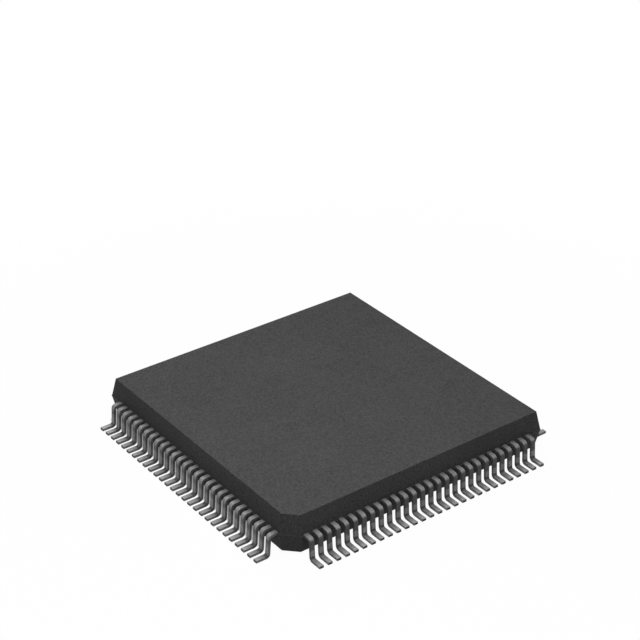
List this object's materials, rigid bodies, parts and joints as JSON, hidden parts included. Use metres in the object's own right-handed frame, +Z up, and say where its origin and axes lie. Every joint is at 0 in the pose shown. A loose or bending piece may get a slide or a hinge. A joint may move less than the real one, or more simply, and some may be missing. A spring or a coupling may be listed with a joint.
{
  "type": "microcontroller",
  "caption": "Square moulded chip package with gull-wing leads on every side and one bevelled corner, holding a silicon die that is wired to the leads.",
  "frame": {"origin": "middle of the seating plane, on which the lead feet stand, under the middle of the body", "axes": "+Z up out of the plain top face; -X and -Y point to the sides that meet at the bevelled corner"},
  "size_m": [0.0232, 0.0232, 0.0029],
  "materials": {
    "mould_compound": "fine matt grain of a moulded epoxy",
    "tinned_lead": "dull tin plate",
    "copper_sheet": "bare rolled copper alloy",
    "silver_adhesive": "cured silver-filled epoxy",
    "silicon": "polished wafer",
    "gold_wire": "drawn gold wire"
  },
  "bodies": {
    "root": {"moulded_body": "mould_compound", "die_pad": "copper_sheet", "die_adhesive": "silver_adhesive", "silicon_die": "silicon", "leads_front": "tinned_lead", "leads_right": "tinned_lead", "leads_back": "tinned_lead", "leads_left": "tinned_lead", "bond_wires_front": "gold_wire", "bond_wires_right": "gold_wire", "bond_wires_back": "gold_wire", "bond_wires_left": "gold_wire"}
  },
  "joints": []
}
